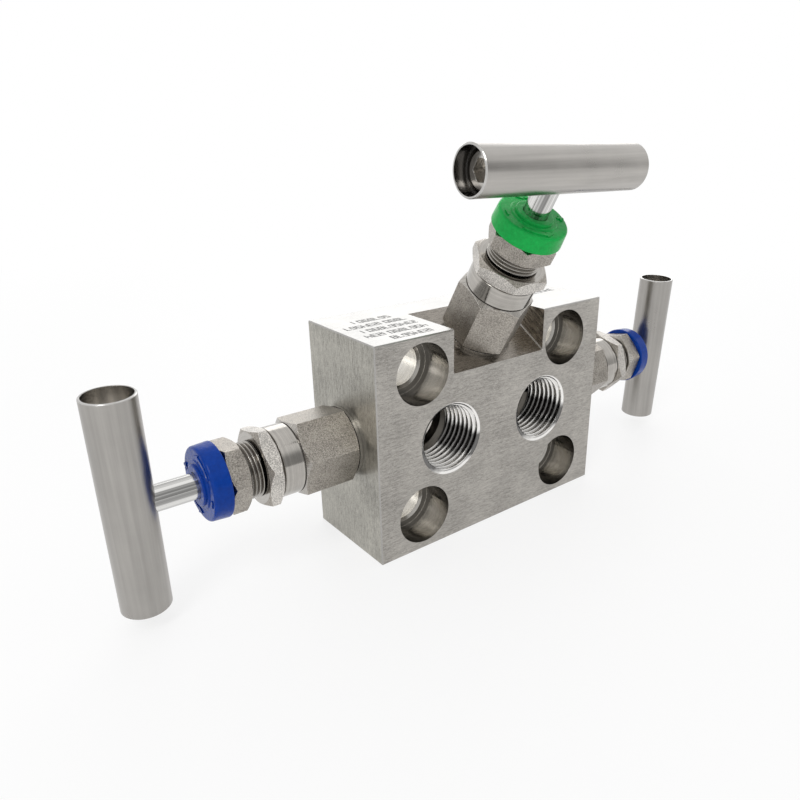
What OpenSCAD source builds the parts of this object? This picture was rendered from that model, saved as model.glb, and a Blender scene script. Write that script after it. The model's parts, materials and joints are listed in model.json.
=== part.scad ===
// Three-valve manifold that bolts straight onto a differential-pressure transmitter.
// A drilled block carries two isolating valves on its sides and one equalising valve
// in a sloping pocket. All three are the same needle valve with a T-bar handle.
// Frame: +X to the right seen from the process side, +Y out of the instrument face, +Z up.
// Origin: middle of the four flange bolts, on the instrument face. Millimetres.

/* [Block] */
// Width of the block, side valve face to side valve face
block_w = 84; // [82:0.5:96]
// Height of the block
block_h = 62; // [60:0.5:72]
// Depth of the block, process face to instrument face
block_d = 32; // [31:0.5:38]
// Height of the side valves above the middle of the block
side_valve_z = 0.8; // [0:0.1:2]
// How far behind the middle of the block's depth the side valves stand
side_valve_back = 0.5; // [0:0.1:1]
// Chamfer on the block's outer edges
block_chamfer = 0.3; // [0.1:0.1:1]

/* [Flange bolts] */
// Bolt spacing across the block
bolt_pitch_x = 54; // [52:0.1:56]
// Bolt spacing up the block
bolt_pitch_z = 41.3; // [40:0.1:43]
// Diameter of the through holes
bolt_hole_d = 12; // [10.5:0.1:13]
// Diameter of the counterbores in the process face
counterbore_d = 17; // [16:0.1:18]
// Depth of the counterbores
counterbore_depth = 10.5; // [6:0.5:16]
// Chamfer at the counterbore's floor and mouth
counterbore_chamfer = 0.7; // [0.2:0.1:1.2]

/* [Process ports] */
// Spacing of the two threaded ports
port_pitch = 35.2; // [34:0.1:38]
// Diameter at the root of the port's thread
port_thread_d = 21; // [20:0.1:21.4]
// Length of the port's thread
port_thread_l = 15; // [10:0.5:17]
// Diameter of the tapping drill past the thread
port_pilot_d = 18.2; // [16:0.1:18.6]
// How far the tapping drill runs past the valve axis
port_overrun = 3; // [2:0.1:6]

/* [Instrument ports] */
// Spacing of the two instrument ports
recess_pitch = 54; // [52:0.1:55]
// Diameter of the seal recess
recess_d = 24.8; // [24:0.1:26]
// Depth of the seal recess
recess_depth = 2.4; // [1.5:0.1:3]
// Inner diameter of the flange seal
seal_bore_d = 18.2; // [17:0.1:20]
// How far the flange seal stands proud of the instrument face
seal_proud = 0.3; // [0.1:0.05:0.6]
// Diameter of the drilling from port to isolating valve
drilling_d = 4; // [3:0.1:5]
// Diameter of the sloping drillings to the equalising valve
cross_drilling_d = 3.5; // [2.5:0.1:4]
// How far the sloping drillings start from the middle of the recess, across and up
cross_start = [3, 1.5];

/* [Pocket] */
// Width of the pocket for the equalising valve
pocket_w = 34; // [28:0.5:36]
// Slope of the pocket's floor
pocket_angle = 31; // [26:0.5:34]
// Drop from the top face to the floor's front edge
pocket_drop = 12.25; // [11:0.25:14]
// Distance from the floor's front edge up the slope to the valve axis
equaliser_inset = 12; // [10:0.1:12.5]

/* [Bonnet] */
// Thickness of the sealing washer under the bonnet
washer_t = 1; // [0.5:0.1:2]
// Outer diameter of the sealing washer
washer_d = 19.5; // [17:0.1:21]
// Bonnet hexagon, across flats
bonnet_af = 19; // [18:0.5:22]
// Length of the bonnet's hexagon
bonnet_hex_l = 15.5; // [13:0.5:20]
// Diameter of the turned collar above the hexagon
collar_d = 18.6; // [17:0.1:19]
// Length of the turned collar
collar_l = 5.9; // [5:0.1:9]
// Width and depth of the groove between hexagon and collar
collar_groove = 0.4; // [0.2:0.1:0.8]
// Diameter of the threaded shank in the block
shank_d = 16; // [14:0.1:17]
// Length of the shank below the hexagon
shank_l = 9.7; // [8.5:0.1:11]
// Gap between the shank's end and the bottom of its socket
socket_gap = 0.3; // [0.1:0.1:0.8]

/* [Seat] */
// Diameter of the chamber round the valve tip
chamber_d = 11; // [9.4:0.1:13]
// Length of the chamber, socket to seat
chamber_l = 4; // [3.8:0.1:6]
// Diameter of the seat's orifice
orifice_d = 5; // [3.5:0.1:5.6]

/* [Packing and gland] */
// Diameter of the packing bore
packing_d = 11; // [9.5:0.1:12]
// Thickness of the washer under the packing
packing_washer_t = 1; // [0.5:0.1:2]
// Number of packing rings
packing_count = 3; // [2:1:3]
// Thickness of one packing ring
packing_ring_t = 2; // [1.5:0.1:2.1]
// Thickness of the follower ring between packing and gland
follower_t = 2; // [1.5:0.1:2.6]
// Gap that is left for tightening the gland
take_up = 1.1; // [0.5:0.1:1.5]
// Diameter at the root of the gland's thread
gland_root_d = 13.2; // [12.2:0.1:14]
// Length of gland thread that shows above the lock nut
thread_showing = 3.8; // [2:0.1:6]
// Gland hexagon, across flats
gland_af = 16.5; // [15:0.5:18]
// Length of the gland's hexagon
gland_hex_l = 5.2; // [4:0.1:8]
// Diameter of the spigot that holds the dust cap
spigot_d = 15.6; // [13:0.1:16]
// Length of the spigot
spigot_l = 3; // [2:0.1:3.4]
// Lock nut, across flats
lock_nut_af = 19; // [17:0.5:21]
// Thickness of the lock nut
lock_nut_t = 4; // [3:0.1:6]
// How far a hexagon's ends are cut back inside its flats
hex_end_relief = 0.25; // [0.1:0.05:0.4]

/* [Dust cap] */
// Diameter of the cap at its rim
cap_d = 19.3; // [17:0.1:21]
// Height of the cap, rim to face
cap_h = 4.7; // [4.2:0.1:6]
// How much smaller the cap's radius is at its face
cap_taper = 0.25; // [0:0.05:0.5]
// Radius of the cap's rounded edges
cap_round = 0.7; // [0.3:0.1:0.9]
// Diameter of the raised hub round the stem
hub_d = 10.4; // [9:0.1:12]
// Height of the hub above the cap's face
hub_h = 0.9; // [0.4:0.1:2]
// Diameter of the low step round the hub
step_d = 12.8; // [12.2:0.1:14]
// Height of the low step
step_h = 0.3; // [0.1:0.05:0.35]

/* [Stem] */
// Diameter of the stem's rod
stem_d = 6.5; // [5.5:0.1:7]
// Diameter of the stem's driving thread
stem_thread_d = 10; // [9:0.1:10.5]
// Length of the stem's driving thread
stem_thread_l = 9; // [7:0.1:9.3]
// Travel of the stem from closed to fully open
stroke = 6; // [4:0.1:6.2]
// Diameter of the unthreaded nose that holds the tip
nose_d = 8; // [7.4:0.1:8.4]
// Length of the nose
nose_l = 1.5; // [1.2:0.1:1.7]
// Diameter of the tip above its cone
tip_d = 7.2; // [6.8:0.1:7.6]
// Half angle of the tip's cone
tip_angle = 30; // [28:1:40]
// Diameter of the tip's neck
neck_d = 3; // [2:0.1:3.6]
// Diameter of the tip's head, held inside the stem
head_d = 4.8; // [4.4:0.1:5.4]
// Length of the tip's head
head_l = 1.5; // [1:0.1:2]
// Thickness of the stem's lip under the head
lip_t = 0.8; // [0.5:0.1:1]

/* [Handle] */
// Diameter of the T-bar
t_bar_d = 11.7; // [11.2:0.1:13]
// Length of the T-bar
t_bar_l = 54; // [46:0.1:60]
// Diameter of the recesses in the T-bar's ends
end_recess_d = 10.6; // [10.1:0.1:10.9]
// Depth of the recess in front of the set screw
screw_recess = 3.5; // [2:0.1:8]
// Depth of the recess in the plain end
plain_recess = 6; // [3:0.1:12]
// Gap between hub and T-bar when the valve is closed
handle_gap = 4.1; // [3:0.05:8]
// How far the stem reaches past the T-bar's middle
stem_reach = 3.3; // [2:0.1:4]
// Diameter of the set screw
set_screw_d = 10; // [8:0.1:10]
// Hexagon socket of the set screw, across flats
set_screw_af = 5; // [4:0.1:5]

/* [As photographed] */
// How far the left valve is open
left_lift = 5.3; // [0:0.1:6]
// How far the right valve is open
right_lift = 0.7; // [0:0.1:6]
// How far the equalising valve is open
equaliser_lift = 2.5; // [0:0.1:6]
// Turn of each T-bar about its stem: left, right, equalising
bar_turns = [-1.1, 182.5, -1.6];
// Turn of each bonnet hexagon
bonnet_turns = [-21, 43, 27];
// Turn of each lock nut
lock_nut_turns = [-17, 45, -1];
// Turn of each gland hexagon
gland_turns = [-28, 18, -6];

/* [Clearances] */
// Radial gap between pieces that are screwed or pressed together
fit_gap = 0.05; // [0.02:0.01:0.1]
// Radial gap between the moving stem and what guides it
running_gap = 0.08; // [0.03:0.01:0.1]
// Radial gap between the stem and its packing
packing_gap = 0.03; // [0.01:0.01:0.05]
// Gap left at each end of the stem's travel
end_gap = 0.2; // [0.1:0.05:0.4]

/* [Hidden] */
$fn = 64;
eps = 0.01;
over = 1;
HEX = 6;
STEEL = [0.70, 0.69, 0.66];
SATIN = [0.78, 0.77, 0.76];
PTFE = [0.93, 0.93, 0.90];
BLUE = [0.10, 0.25, 0.68];
GREEN = [0.13, 0.62, 0.31];

VALVES = ["left", "right", "equaliser"];
VALVE_PIECES = [
    "bonnet_washer", "bonnet", "packing_washer", "packing_rings", "packing_follower",
    "gland_screw", "lock_nut", "dust_cap", "valve_tip", "stem", "t_bar", "set_screw"
];

// Heights along a valve's axis, from the block's face outwards
hex_z0 = washer_t;
hex_z1 = hex_z0 + bonnet_hex_l;
collar_z = hex_z1 + collar_l;
nut_z = collar_z + lock_nut_t;
gland_z0 = nut_z + thread_showing;
gland_z1 = gland_z0 + gland_hex_l;
spigot_z = gland_z1 + spigot_l;
cap_z = gland_z1 + cap_h;
hub_z = cap_z + hub_h;
handle_z = hub_z + handle_gap + t_bar_d / 2;
stem_top_z = handle_z + stem_reach;

// Depths along a valve's axis, inside the block
shank_z = hex_z0 - shank_l;
socket_depth = socket_gap - shank_z;
seat_depth = socket_depth + chamber_l;

// The stem's travel inside the bonnet, with the valve closed
thread_z0 = shank_z + socket_gap;
thread_z1 = thread_z0 + stem_thread_l;
nose_z = thread_z0 - nose_l;
stem_r = stem_d / 2;
stem_bore_r = stem_r + running_gap;
thread_bore_r = stem_thread_d / 2 + running_gap;
back_seat_z = thread_z1 + stroke + end_gap;
packing_z0 = back_seat_z + thread_bore_r - stem_bore_r + 1;
packing_z1 = packing_z0 + packing_washer_t + packing_count * packing_ring_t;
gland_low_z = packing_z1 + follower_t;
packing_top_z = gland_low_z - take_up;

// The tip, with the valve closed
seat_z = -seat_depth;
contact_r = orifice_d / 2 - fit_gap;
tip_point_r = orifice_d / 4;
tip_slope = tan(tip_angle);
tip_low_z = seat_z - (contact_r - tip_point_r) / tip_slope;
tip_cone_z = seat_z + (tip_d / 2 - contact_r) / tip_slope;
cavity_z = nose_z + lip_t;

// Where the valves sit on the block
valve_y = side_valve_back - block_d / 2;
pocket_z = block_h / 2 - pocket_drop;
floor_axis = [0, -sin(pocket_angle), cos(pocket_angle)];
floor_slope = [0, cos(pocket_angle), sin(pocket_angle)];
equaliser_base = [0, -block_d, pocket_z] + equaliser_inset * floor_slope;
chamber_middle = socket_depth + chamber_l / 2;
gallery_l = orifice_d;

function index(v) = v == "left" ? 0 : v == "right" ? 1 : 2;
function lift(v) = [left_lift, right_lift, equaliser_lift][index(v)];
function arc(middle, r, from, to, steps = 6) = [
    for (i = [0:steps])
        let (a = from + (to - from) * i / steps)
            middle + r * [cos(a), sin(a)]
];

// Puts a valve's own frame, +Z out along its stem, at its place on the block
module at_valve(v) {
    if (v == "left")
        translate([-block_w / 2, valve_y, side_valve_z]) rotate([0, -90, 0]) children();
    if (v == "right")
        translate([block_w / 2, valve_y, side_valve_z]) rotate([0, 90, 0]) children();
    if (v == "equaliser")
        translate(equaliser_base) rotate([pocket_angle, 0, 0]) children();
}

module drilling(from, to, d) {
    run = to - from;
    translate(from)
        rotate([0, acos(run[2] / norm(run)), atan2(run[1], run[0])])
            cylinder(d = d, h = norm(run));
}

module along_y(y0, y1, d) {
    translate([0, y0, 0]) rotate([-90, 0, 0]) cylinder(d = d, h = y1 - y0);
}

// Hexagon bar with both ends chamfered to a circle just inside its flats
module hexagon(af, z0, z1, turn) {
    corner_r = af / 2 / cos(30);
    end_r = af / 2 - hex_end_relief;
    clear_r = corner_r + hex_end_relief;
    rise = (clear_r - end_r) * tan(30);
    intersection() {
        translate([0, 0, z0]) rotate(turn) cylinder(r = corner_r, h = z1 - z0, $fn = HEX);
        rotate_extrude()
            polygon([
                [0, z0], [end_r, z0], [clear_r, z0 + rise],
                [clear_r, z1 - rise], [end_r, z1], [0, z1]
            ]);
    }
}

module ring(outer_r, inner_r, z0, z1) {
    translate([0, 0, z0])
        difference() {
            cylinder(r = outer_r, h = z1 - z0);
            translate([0, 0, -over]) cylinder(r = inner_r, h = z1 - z0 + 2 * over);
        }
}

// Rectangle with cut corners, spread from one side of the origin to the other
module cut_rectangle(x, y, c) {
    polygon([
        [-x / 2 + c, -y / 2], [x / 2 - c, -y / 2], [x / 2, -y / 2 + c], [x / 2, y / 2 - c],
        [x / 2 - c, y / 2], [-x / 2 + c, y / 2], [-x / 2, y / 2 - c], [-x / 2, -y / 2 + c]
    ]);
}

module block_blank() {
    intersection() {
        linear_extrude(block_h, center = true) cut_rectangle(block_w, block_d, block_chamfer);
        rotate([90, 0, 0])
            linear_extrude(block_d, center = true) cut_rectangle(block_w, block_h, block_chamfer);
        rotate([90, 0, 90])
            linear_extrude(block_w, center = true) cut_rectangle(block_d, block_h, block_chamfer);
    }
}

// Counterbored bolt hole, with a chamfer where the counterbore meets the hole
module bolt_hole() {
    hole_r = bolt_hole_d / 2;
    wide_r = counterbore_d / 2;
    c = counterbore_chamfer;
    mouth_c = block_chamfer;
    translate([0, -block_d, 0])
        rotate([-90, 0, 0])
            rotate_extrude()
                polygon([
                    [0, -over], [wide_r + mouth_c + over, -over], [wide_r + mouth_c, 0],
                    [wide_r, mouth_c], [wide_r, counterbore_depth], [hole_r + c, counterbore_depth],
                    [hole_r, counterbore_depth + c], [hole_r, block_d + over], [0, block_d + over]
                ]);
}

// Threaded process port with its tapping drill and drill point
module process_port() {
    thread_r = port_thread_d / 2;
    pilot_r = port_pilot_d / 2;
    floor_y = block_d + valve_y + port_overrun;
    thread_y = min(port_thread_l, floor_y - over);
    point = pilot_r * tan(30);
    translate([0, -block_d, 0])
        rotate([-90, 0, 0])
            rotate_extrude()
                polygon([
                    [0, -over], [thread_r, -over], [thread_r, thread_y],
                    [pilot_r, thread_y + thread_r - pilot_r], [pilot_r, floor_y],
                    [0, floor_y + point]
                ]);
}

// Threaded socket for a bonnet, the chamber below it, and the seat's orifice
module valve_socket(orifice_l) {
    translate([0, 0, -socket_depth]) cylinder(d = shank_d + 2 * fit_gap, h = socket_depth + over);
    translate([0, 0, -seat_depth]) cylinder(d = chamber_d, h = chamber_l + eps);
    translate([0, 0, -seat_depth - orifice_l]) cylinder(d = orifice_d, h = orifice_l + eps);
}

module manifold_block() {
    side_orifice_l = block_w / 2 - seat_depth - port_pitch / 2;
    chamber_x = block_w / 2 - chamber_middle;
    recess_x = recess_pitch / 2;
    recess_y = -recess_depth + eps;
    chamber = equaliser_base - chamber_middle * floor_axis;
    gallery = equaliser_base - (seat_depth + gallery_l / 2) * floor_axis;
    color(STEEL)
        difference() {
            translate([0, -block_d / 2, 0]) block_blank();
            for (x = [-1, 1], z = [-1, 1])
                translate([x * bolt_pitch_x / 2, 0, z * bolt_pitch_z / 2]) bolt_hole();
            for (side = [-1, 1]) {
                translate([side * port_pitch / 2, 0, 0]) process_port();
                translate([side * recess_x, 0, 0]) along_y(-recess_depth, over, recess_d);
                drilling(
                    [side * recess_x, recess_y, 0], [side * chamber_x, valve_y, side_valve_z],
                    drilling_d
                );
            }
            translate([-pocket_w / 2, -block_d, pocket_z])
                rotate([pocket_angle, 0, 0])
                    translate([0, -block_d, 0]) cube([pocket_w, 3 * block_d, block_h]);
            at_valve("left") valve_socket(side_orifice_l);
            at_valve("right") valve_socket(side_orifice_l);
            at_valve("equaliser") valve_socket(gallery_l);
            drilling([-recess_x + cross_start[0], recess_y, cross_start[1]], chamber, cross_drilling_d);
            drilling([recess_x - cross_start[0], recess_y, cross_start[1]], gallery, cross_drilling_d);
        }
}

module flange_seal(side) {
    color(PTFE)
        translate([side * recess_pitch / 2, 0, 0])
            difference() {
                along_y(-recess_depth, seal_proud, recess_d - 4 * fit_gap);
                along_y(-recess_depth - over, seal_proud + over, seal_bore_d);
            }
}

module bonnet_washer() {
    color(SATIN) ring(washer_d / 2, shank_d / 2 + 2 * fit_gap, 0, washer_t);
}

module bonnet(turn) {
    shank_r = shank_d / 2;
    collar_r = collar_d / 2;
    groove_r = collar_r - collar_groove;
    gland_bore_r = gland_root_d / 2 + fit_gap;
    lead = 0.4;
    color(STEEL)
        difference() {
            union() {
                hexagon(bonnet_af, hex_z0, hex_z1, turn);
                rotate_extrude()
                    polygon([
                        [0, shank_z], [shank_r - 1, shank_z], [shank_r, shank_z + 1],
                        [shank_r, hex_z0 + over], [groove_r, hex_z0 + over],
                        [groove_r, hex_z1 + collar_groove], [collar_r, hex_z1 + collar_groove],
                        [collar_r, collar_z - lead], [collar_r - lead, collar_z], [0, collar_z]
                    ]);
            }
            rotate_extrude()
                polygon([
                    [0, shank_z - over], [thread_bore_r, shank_z - over],
                    [thread_bore_r, back_seat_z],
                    [stem_bore_r, back_seat_z + thread_bore_r - stem_bore_r],
                    [stem_bore_r, packing_z0], [packing_d / 2, packing_z0],
                    [packing_d / 2, packing_top_z], [gland_bore_r, packing_top_z],
                    [gland_bore_r, collar_z - lead], [gland_bore_r + lead, collar_z],
                    [gland_bore_r + lead, collar_z + over], [0, collar_z + over]
                ]);
        }
}

module packing_washer() {
    color(SATIN)
        ring(packing_d / 2 - fit_gap, stem_bore_r, packing_z0, packing_z0 + packing_washer_t);
}

module packing_rings() {
    color(PTFE)
        for (i = [0:packing_count - 1]) {
            z = packing_z0 + packing_washer_t + i * packing_ring_t;
            ring(packing_d / 2 - fit_gap, stem_r + packing_gap, z + fit_gap, z + packing_ring_t);
        }
}

module packing_follower() {
    color(SATIN) ring(packing_d / 2 - fit_gap, stem_bore_r, packing_z1, gland_low_z);
}

// Hollow screw: thread at its root diameter, hexagon, and a spigot for the dust cap
module gland_screw(turn) {
    root_r = gland_root_d / 2;
    lead = 0.5;
    color(STEEL)
        difference() {
            union() {
                hexagon(gland_af, gland_z0, gland_z1, turn);
                rotate_extrude()
                    polygon([
                        [0, gland_low_z], [root_r - lead, gland_low_z],
                        [root_r, gland_low_z + lead], [root_r, gland_z0 + over],
                        [spigot_d / 2, gland_z0 + over], [spigot_d / 2, spigot_z], [0, spigot_z]
                    ]);
            }
            translate([0, 0, gland_low_z - over])
                cylinder(r = stem_bore_r, h = spigot_z - gland_low_z + 2 * over);
        }
}

module lock_nut(turn) {
    bore_r = gland_root_d / 2 + fit_gap;
    lead = 0.5;
    color(STEEL)
        difference() {
            hexagon(lock_nut_af, collar_z, nut_z, turn);
            rotate_extrude()
                polygon([
                    [0, collar_z - over], [bore_r + lead, collar_z - over],
                    [bore_r + lead, collar_z], [bore_r, collar_z + lead],
                    [bore_r, nut_z - lead], [bore_r + lead, nut_z],
                    [bore_r + lead, nut_z + over], [0, nut_z + over]
                ]);
        }
}

// Cup that snaps over the gland's spigot, with a stepped hub round the stem
module dust_cap(shade) {
    rim_r = cap_d / 2;
    face_r = rim_r - cap_taper;
    foot_round = cap_round / 2;
    inner_r = spigot_d / 2 + fit_gap;
    hub_round = min(hub_h, 0.5) * 0.8;
    color(shade)
        difference() {
            rotate_extrude()
                polygon(concat(
                    [[0, gland_z1]],
                    arc([rim_r - foot_round, gland_z1 + foot_round], foot_round, -90, 0),
                    arc([face_r - cap_round, cap_z - cap_round], cap_round, 0, 90),
                    [[step_d / 2, cap_z], [step_d / 2 - step_h, cap_z + step_h]],
                    [[hub_d / 2, cap_z + step_h]],
                    arc([hub_d / 2 - hub_round, hub_z - hub_round], hub_round, 0, 90, 4),
                    [[0, hub_z]]
                ));
            translate([0, 0, gland_z1 - over])
                cylinder(r = inner_r, h = spigot_l + over + fit_gap);
            cylinder(r = stem_bore_r, h = hub_z + over);
        }
}

// Cone that closes the seat, with a neck and head that the stem turns on
module valve_tip() {
    tip_r = tip_d / 2;
    head_z = cavity_z + fit_gap;
    color(SATIN)
        rotate_extrude()
            polygon([
                [0, tip_low_z], [tip_point_r, tip_low_z], [tip_r, tip_cone_z],
                [tip_r, nose_z - 2 * fit_gap], [neck_d / 2, nose_z - 2 * fit_gap],
                [neck_d / 2, head_z], [head_d / 2, head_z],
                [head_d / 2, head_z + head_l], [0, head_z + head_l]
            ]);
}

// Spindle: nose over the tip's head, driving thread, back-seat cone and rod
module stem() {
    thread_r = stem_thread_d / 2;
    lead = 0.6;
    head_r = head_d / 2 + running_gap;
    color(SATIN)
        difference() {
            rotate_extrude()
                polygon([
                    [0, nose_z], [nose_d / 2, nose_z], [nose_d / 2, thread_z0],
                    [thread_r - lead, thread_z0], [thread_r, thread_z0 + lead],
                    [thread_r, thread_z1], [stem_r, thread_z1 + thread_r - stem_r],
                    [stem_r, stem_top_z - lead], [stem_r - lead, stem_top_z], [0, stem_top_z]
                ]);
            translate([0, 0, nose_z - over])
                cylinder(r = neck_d / 2 + running_gap, h = lip_t + over + eps);
            translate([0, 0, cavity_z]) cylinder(r = head_r, h = head_l + 3 * fit_gap);
        }
}

// Handle bar: recess and tapped hole at one end, plain recess at the other
module t_bar() {
    half = t_bar_l / 2;
    edge = 0.2;
    r = t_bar_d / 2;
    color(SATIN)
        translate([0, 0, handle_z])
            difference() {
                rotate([0, 90, 0])
                    rotate_extrude()
                        polygon([
                            [0, -half], [r - edge, -half], [r, -half + edge],
                            [r, half - edge], [r - edge, half], [0, half]
                        ]);
                translate([-half - over, 0, 0])
                    rotate([0, 90, 0]) cylinder(d = end_recess_d, h = screw_recess + over);
                translate([-half, 0, 0])
                    rotate([0, 90, 0]) cylinder(d = set_screw_d, h = half - stem_r + 2 * fit_gap);
                translate([half - plain_recess, 0, 0])
                    rotate([0, 90, 0]) cylinder(d = end_recess_d, h = plain_recess + over);
                translate([0, 0, -t_bar_d])
                    cylinder(r = stem_r + fit_gap, h = t_bar_d + stem_reach + fit_gap);
            }
}

module set_screw() {
    r = set_screw_d / 2 - fit_gap;
    outer = t_bar_l / 2 - screw_recess;
    inner = stem_r + fit_gap;
    socket = set_screw_af;
    lead = 0.9;
    color(STEEL)
        translate([0, 0, handle_z])
            rotate([0, -90, 0])
                difference() {
                    rotate_extrude()
                        polygon([
                            [0, inner], [r - lead, inner], [r, inner + lead],
                            [r, outer - lead], [r - lead, outer], [0, outer]
                        ]);
                    translate([0, 0, outer - socket])
                        cylinder(r = set_screw_af / 2 / cos(30), h = socket + over, $fn = HEX);
                }
}

// Lifts what moves with a valve's stem to its place in the photographed state
module moved(v) {
    at_valve(v) translate([0, 0, lift(v)]) children();
}

manifold_block();
flange_seal(-1);  // left_flange_seal
flange_seal(1);  // right_flange_seal
for (v = VALVES) {
    i = index(v);
    at_valve(v) bonnet_washer();
    at_valve(v) bonnet(bonnet_turns[i]);
    at_valve(v) packing_washer();
    at_valve(v) packing_rings();
    at_valve(v) packing_follower();
    at_valve(v) gland_screw(gland_turns[i]);
    at_valve(v) lock_nut(lock_nut_turns[i]);
    at_valve(v) dust_cap(i == 2 ? GREEN : BLUE);
    moved(v) valve_tip();
    moved(v) stem();
    moved(v) rotate(bar_turns[i]) t_bar();
    moved(v) rotate(bar_turns[i]) set_screw();
}
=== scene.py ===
import json
import math

import bmesh
import bpy
from mathutils import Matrix, Vector


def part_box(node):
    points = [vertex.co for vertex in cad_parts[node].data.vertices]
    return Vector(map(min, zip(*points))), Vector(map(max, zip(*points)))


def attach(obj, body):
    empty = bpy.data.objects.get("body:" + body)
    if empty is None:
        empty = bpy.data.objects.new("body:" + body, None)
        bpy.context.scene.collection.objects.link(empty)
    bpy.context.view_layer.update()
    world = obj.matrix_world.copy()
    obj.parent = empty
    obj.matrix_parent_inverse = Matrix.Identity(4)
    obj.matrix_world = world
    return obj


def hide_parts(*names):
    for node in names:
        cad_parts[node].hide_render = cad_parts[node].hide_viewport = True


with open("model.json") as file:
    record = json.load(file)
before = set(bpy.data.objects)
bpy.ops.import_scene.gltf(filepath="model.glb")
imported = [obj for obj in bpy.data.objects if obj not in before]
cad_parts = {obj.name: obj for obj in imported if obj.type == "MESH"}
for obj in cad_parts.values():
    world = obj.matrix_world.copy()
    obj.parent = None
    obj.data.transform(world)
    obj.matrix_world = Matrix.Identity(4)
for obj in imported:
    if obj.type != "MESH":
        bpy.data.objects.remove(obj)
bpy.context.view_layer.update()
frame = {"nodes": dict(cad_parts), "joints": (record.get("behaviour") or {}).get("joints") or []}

MM = 0.001
TAU = 2 * math.pi

# Colours, linear
FRONT_STEEL = (0.38, 0.362, 0.335)
SIDE_STEEL = (0.37, 0.358, 0.322)
TOP_STEEL = (0.40, 0.393, 0.380)
POCKET_STEEL = (0.30, 0.275, 0.245)
POCKET_WALL_STEEL = (0.68, 0.63, 0.56)
EDGE_STEEL = (0.40, 0.39, 0.375)
BORE_STEEL = (0.58, 0.555, 0.515)
# Painted light: a lighter copy of the bored steel for the through-holes' walls
LIT_HOLE_STEEL = (0.82, 0.80, 0.76)
# Painted shade: near-black steel for the deep part of each port, standing in for the shade down
# the hole
DEEP_SHADE_STEEL = (0.14, 0.13, 0.115)
THREAD_STEEL = (0.88, 0.865, 0.84)
RIM_STEEL = (0.50, 0.49, 0.475)
RECESS_STEEL = (0.62, 0.60, 0.57)
# Painted shade: near-black steel for the equaliser bar's end recess
SHADED_RECESS_STEEL = (0.13, 0.125, 0.118)
BLASTED_STEEL = (0.36, 0.334, 0.299)
# Painted light: a lighter copy of the blasted steel, for the lock nuts' flats
NUT_STEEL = (0.56, 0.535, 0.50)
TURNED_STEEL = (0.43, 0.41, 0.38)
GLAND_THREAD_STEEL = (0.42, 0.40, 0.37)
POLISHED_STEEL = (0.62, 0.615, 0.60)
HANDLE_STEEL = (0.38, 0.365, 0.345)
SCREW_STEEL = (0.58, 0.56, 0.53)
MARK_STEEL = (0.022, 0.020, 0.018)
PTFE_WHITE = (0.86, 0.86, 0.83)
CAP_BLUE = (0.002, 0.044, 0.31)
CAP_GREEN = (0.009, 0.43, 0.078)
FLOOR_WHITE = (0.95, 0.95, 0.95)

# Where the parts are, read from the frame. Stations run along a valve's axis, from its base.
VALVES = ("left", "right", "equaliser")
SIDES = (("left", -1), ("right", 1))
PIVOT_STATION = 30 * MM
joints = {j["name"]: j for j in frame["joints"]}
AXES = {v: Vector(joints[f"{v}_handle_turn"]["axis"]).normalized() for v in VALVES}
BASES = {
    v: Vector(joints[f"{v}_handle_turn"]["pos_m"]) - PIVOT_STATION * AXES[v] for v in VALVES
}
BLOCK_LOW, BLOCK_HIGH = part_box("manifold_block")
SIDE_FACE = BLOCK_LOW.x
NUT_END = SIDE_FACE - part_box("left_lock_nut")[0].x
CAP_RIM = SIDE_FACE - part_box("left_dust_cap")[1].x
CAP_HUB = SIDE_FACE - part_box("left_dust_cap")[0].x
CROSSWISE = {v: Vector((1, 0, 0) if v == "equaliser" else (0, 1, 0)) for v in VALVES}
POCKET_TILT = math.atan2(-AXES["equaliser"].y, AXES["equaliser"].z)

# Sizes that the solids leave to this script
GLAND_HEX_L = 5.2 * MM
GLAND_ROOT_R = 6.6 * MM
GLAND_CREST_R = 7.3 * MM
GLAND_PITCH = 1.0 * MM
PORT_X = 17.6 * MM
PORT_WALL_R = 10.5 * MM
PORT_THREAD_L = 14.2 * MM
PORT_PITCH = 1.814 * MM
PORT_DEEP_R = 10.6 * MM
PORT_MOUTH_R = 10.4 * MM
PORT_MOUTH_SLOPE = 6.0
PORT_THREAD_H = 1.25 * MM
PORT_TAPER = 1 / 32
BOLT_HOLE = (27 * MM, 0, 20.65 * MM)
BOLT_HOLE_R = 6.3 * MM
PORT = (PORT_X, 0, 0)
POCKET_HALF_W = 17 * MM
POCKET_LOWEST = 18 * MM
SUNK = 0.01 * MM
SLEEVE_SUNK = 0.02 * MM
PORT_SLEEVE_R = PORT_WALL_R - 0.005 * MM
PORT_THIN_R = PORT_WALL_R - 0.01 * MM
PORT_SEGMENTS = 128
THREAD_FLAT, THREAD_FLANK = 0.12, 0.76

# Painted shade in seams and creases: how far it reaches from a seam, and how dark it gets
CREASE_SHADE_REACH = 0.9 * MM
CREASE_SHADE = 0.35

# Cutter's marks in holes, and painted light and shade by the place along Y: a lighter band in
# each counterbore, darker walls away from it, lighter again at the step at its end and behind it
BORE_MARKS = 0.008 * MM
LIT_BAND_Y = -28 * MM
LIT_BAND_HALF_W, SHADED_FROM = 1.5 * MM, 5.5 * MM
STEP_FROM, STEP_TO = -21.9 * MM, -21.5 * MM
BEHIND_FROM, BEHIND_TO = -21 * MM, -19 * MM
LIT_BAND_SHADE, PAINTED_DARK_SHADE, STEP_SHADE, BEHIND_SHADE = 0.64, 0.33, 0.62, 0.9

# Painted dark band across the middle of the ports, by height, standing in for a dark reflection
DARK_BAND_LOW_FROM, DARK_BAND_LOW_TO = -6.6 * MM, -4.8 * MM
DARK_BAND_HIGH_FROM, DARK_BAND_HIGH_TO = 0.2 * MM, 1.8 * MM
DARK_BAND_DRIFT = 4 * MM
DARK_BAND_SHADE = 0.17


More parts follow.
